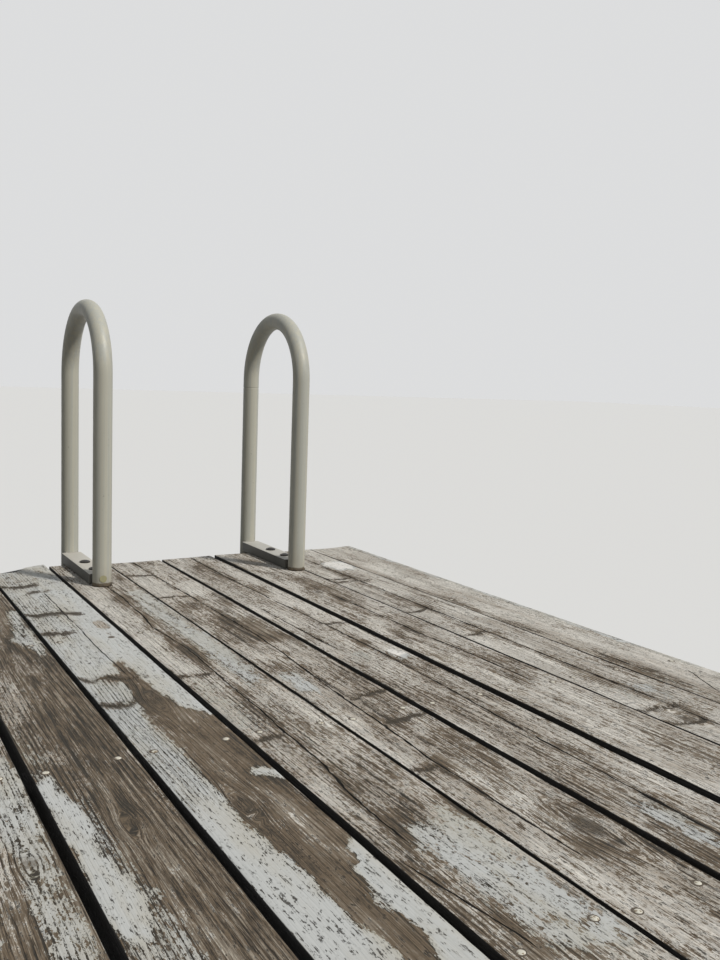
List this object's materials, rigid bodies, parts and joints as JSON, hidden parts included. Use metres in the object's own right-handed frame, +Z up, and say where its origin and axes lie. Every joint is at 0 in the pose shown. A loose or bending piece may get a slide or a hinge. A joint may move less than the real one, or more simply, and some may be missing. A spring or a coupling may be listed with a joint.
{
  "type": "timber jetty with swim ladder",
  "caption": "Weathered timber jetty on round piles, with open-jointed deck boards and an aluminium swim ladder with tall hand hoops.",
  "frame": {"origin": "level of the pile feet, under the middle of the whole part's box", "axes": "+X along the jetty to its outer end, +Y to the side that carries the ladder, +Z up"},
  "size_m": [7.3028, 3.152, 2.789],
  "materials": {
    "deck_wood": "weathered grey-brown boards with peeling pale blue-grey paint",
    "rim_wood": "weathered, pale paint worn through",
    "frame_wood": "dark weathered timber",
    "pile_wood": "dark round timber, stained at the waterline",
    "brace_wood": "dark wet timber",
    "tube_alloy": "satin, dull with grime",
    "bar_alloy": "satin, dull with grime",
    "tread_alloy": "ribbed, dull",
    "bolt_steel": "dark, weathered coach bolts",
    "rubber": "brown, dull"
  },
  "bodies": {
    "root": {"deck_boards_1": "deck_wood", "deck_boards_2": "deck_wood", "deck_boards_3": "deck_wood", "rim_ladder_side": "rim_wood", "rim_open_side": "rim_wood", "header_shore": "rim_wood", "header_outer": "rim_wood", "joist_1": "frame_wood", "joist_2": "frame_wood", "joist_3": "frame_wood", "joist_4": "frame_wood", "cap_beams_1": "frame_wood", "cap_beams_2": "frame_wood", "cap_beams_3": "frame_wood", "cap_beams_4": "frame_wood", "pile_1_open": "pile_wood", "pile_2_open": "pile_wood", "pile_3_open": "pile_wood", "pile_4_open": "pile_wood", "pile_1_ladder": "pile_wood", "pile_2_ladder": "pile_wood", "pile_3_ladder": "pile_wood", "pile_4_ladder": "pile_wood", "brace_1_out": "brace_wood", "brace_2_out": "brace_wood", "brace_3_out": "brace_wood", "brace_4_out": "brace_wood", "brace_1_in": "brace_wood", "brace_2_in": "brace_wood", "brace_3_in": "brace_wood", "brace_4_in": "brace_wood", "ladder_rail_left": "tube_alloy", "ladder_rail_right": "tube_alloy", "base_bar_left": "bar_alloy", "base_bar_right": "bar_alloy", "base_bolts": "bolt_steel", "foot_caps": "rubber", "rail_plugs": "rubber", "tread_1": "tread_alloy", "tread_2": "tread_alloy", "tread_3": "tread_alloy", "tread_4": "tread_alloy"}
  },
  "joints": []
}
